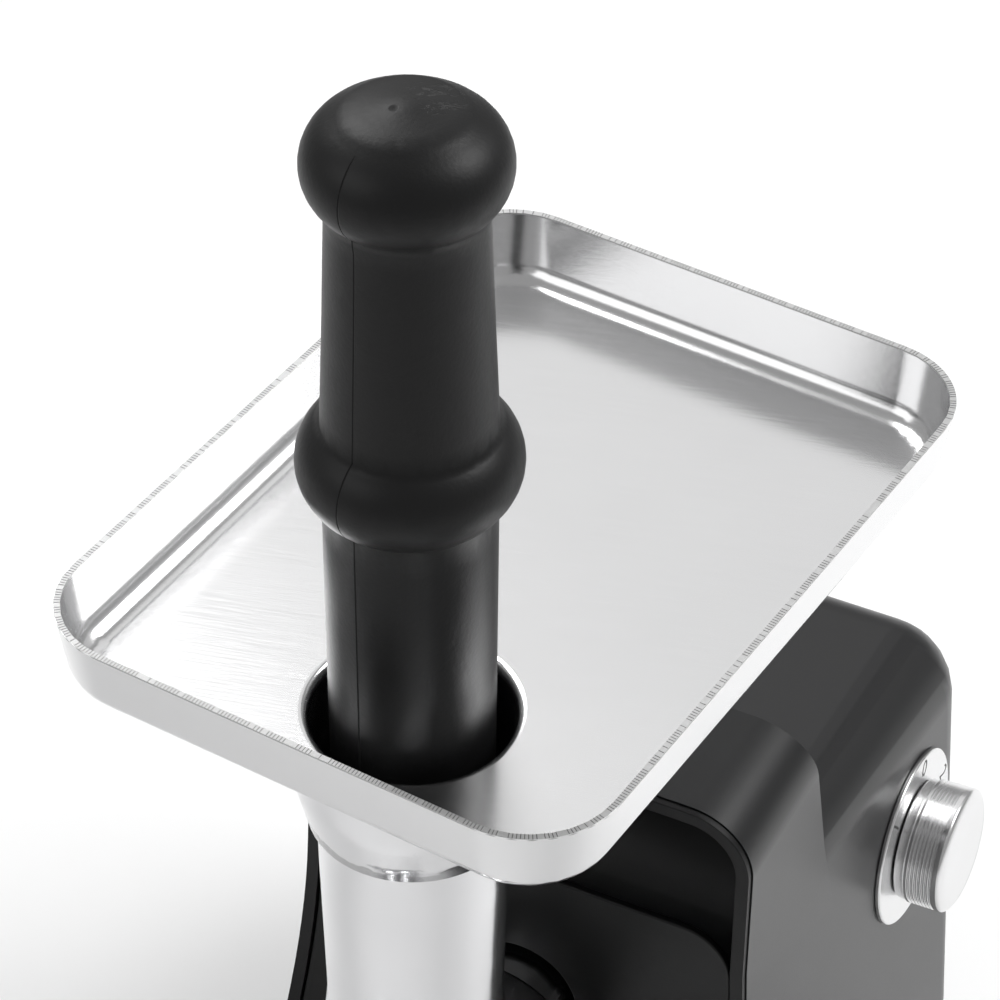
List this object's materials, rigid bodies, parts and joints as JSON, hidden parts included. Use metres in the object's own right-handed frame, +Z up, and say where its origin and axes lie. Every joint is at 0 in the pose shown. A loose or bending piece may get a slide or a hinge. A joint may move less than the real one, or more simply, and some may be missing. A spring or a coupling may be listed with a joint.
{
  "type": "electric meat grinder",
  "caption": "Countertop electric meat grinder: pressed tray on an upright feed tube, pusher, grinding head with plate and ring nut, side knob, motor and gear train inside",
  "frame": {"origin": "middle of the machine's footprint on the counter, at the feet's underside", "axes": "+Z up; the grinding head and its ring nut point to -Y, the motor housing to +Y; the speed knob is on the +X side"},
  "size_m": [0.1704, 0.287, 0.4728],
  "materials": {
    "tray_metal": "pressed sheet, polished, with a fine grain on the rim",
    "head_metal": "cast and polished",
    "tool_steel": "ground",
    "control_metal": "turned, satin",
    "body_paint": "dark grey with a soft metallic sheen",
    "black_plastic": "satin black, moulded",
    "pusher_plastic": "satin black, moulded",
    "soft_rubber": "matt",
    "copper": "enamelled wire and copper bars",
    "brush_brass": "stamped",
    "carbon": "pressed carbon"
  },
  "bodies": {
    "machine": {"housing": "body_paint", "front_bezel": "black_plastic", "front_panel": "black_plastic", "base_plate": "black_plastic", "rubber_feet": "soft_rubber", "base_screws": "tool_steel", "head_socket": "black_plastic", "dial_plate": "control_metal", "rotary_switch": "black_plastic", "grinder_head": "head_metal", "auger_bush": "black_plastic", "cutting_plate": "tool_steel", "gearbox_case": "black_plastic", "gearbox_cover": "black_plastic", "gearbox_screws": "tool_steel", "gear_pins": "tool_steel", "motor_stator": "tool_steel", "field_windings": "copper", "motor_bearings": "tool_steel", "motor_bracket": "tool_steel", "motor_bolts": "tool_steel", "brush_holders": "brush_brass", "carbon_brushes": "carbon", "cord_gland": "black_plastic"},
    "tray_body": {"tray": "tray_metal"},
    "pusher_body": {"pusher": "pusher_plastic"},
    "knob_body": {"knob": "control_metal", "switch_shaft": "tool_steel"},
    "lock_body": {"lock_button": "black_plastic"},
    "nut_body": {"ring_nut": "head_metal"},
    "auger_body": {"auger": "head_metal", "cutting_blade": "tool_steel", "output_gear": "tool_steel"},
    "second_body": {"second_gear": "tool_steel"},
    "first_body": {"first_gear": "tool_steel"},
    "rotor_body": {"motor_shaft": "tool_steel", "armature": "tool_steel", "rotor_winding": "copper", "commutator": "copper", "cooling_fan": "black_plastic"}
  },
  "joints": [
    {"name": "tray_swivel", "type": "hinge", "parent": "machine", "child": "tray_body", "pos_m": [0, -0.08845, 0.3], "axis": [0, 0, 1], "continuous": true},
    {"name": "pusher_slide", "type": "slide", "parent": "machine", "child": "pusher_body", "axis": [0, 0, 1], "range_m": [-0.072, 0.045]},
    {"name": "knob_turn", "type": "hinge", "parent": "machine", "child": "knob_body", "pos_m": [0.06741, 0.09255, 0.127], "axis": [0.999, 0, 0.0454], "range_deg": [-45, 45]},
    {"name": "lock_press", "type": "slide", "parent": "machine", "child": "lock_body", "axis": [0, 1, 0], "range_m": [0, 0.004], "stiffness_N_per_m": 800},
    {"name": "nut_turn", "type": "hinge", "parent": "machine", "child": "nut_body", "pos_m": [0, -0.13345, 0.143], "axis": [0, 1, 0], "range_deg": [0, 90]},
    {"name": "motor_spin", "type": "hinge", "parent": "machine", "child": "rotor_body", "pos_m": [0, 0.07155, 0.078], "axis": [0, 1, 0], "continuous": true},
    {"name": "first_gear_spin", "type": "hinge", "parent": "machine", "child": "first_body", "pos_m": [0.01393, 0.02155, 0.10457], "axis": [0, 1, 0], "continuous": true},
    {"name": "second_gear_spin", "type": "hinge", "parent": "machine", "child": "second_body", "pos_m": [-0.0195, 0.01655, 0.10923], "axis": [0, 1, 0], "continuous": true},
    {"name": "auger_spin", "type": "hinge", "parent": "machine", "child": "auger_body", "pos_m": [0, 0.00655, 0.143], "axis": [0, 1, 0], "continuous": true}
  ],
  "couplings": [
    {"joint": "first_gear_spin", "follows": "motor_spin", "ratio": -0.25},
    {"joint": "second_gear_spin", "follows": "motor_spin", "ratio": 0.071429},
    {"joint": "auger_spin", "follows": "motor_spin", "ratio": -0.021429}
  ]
}
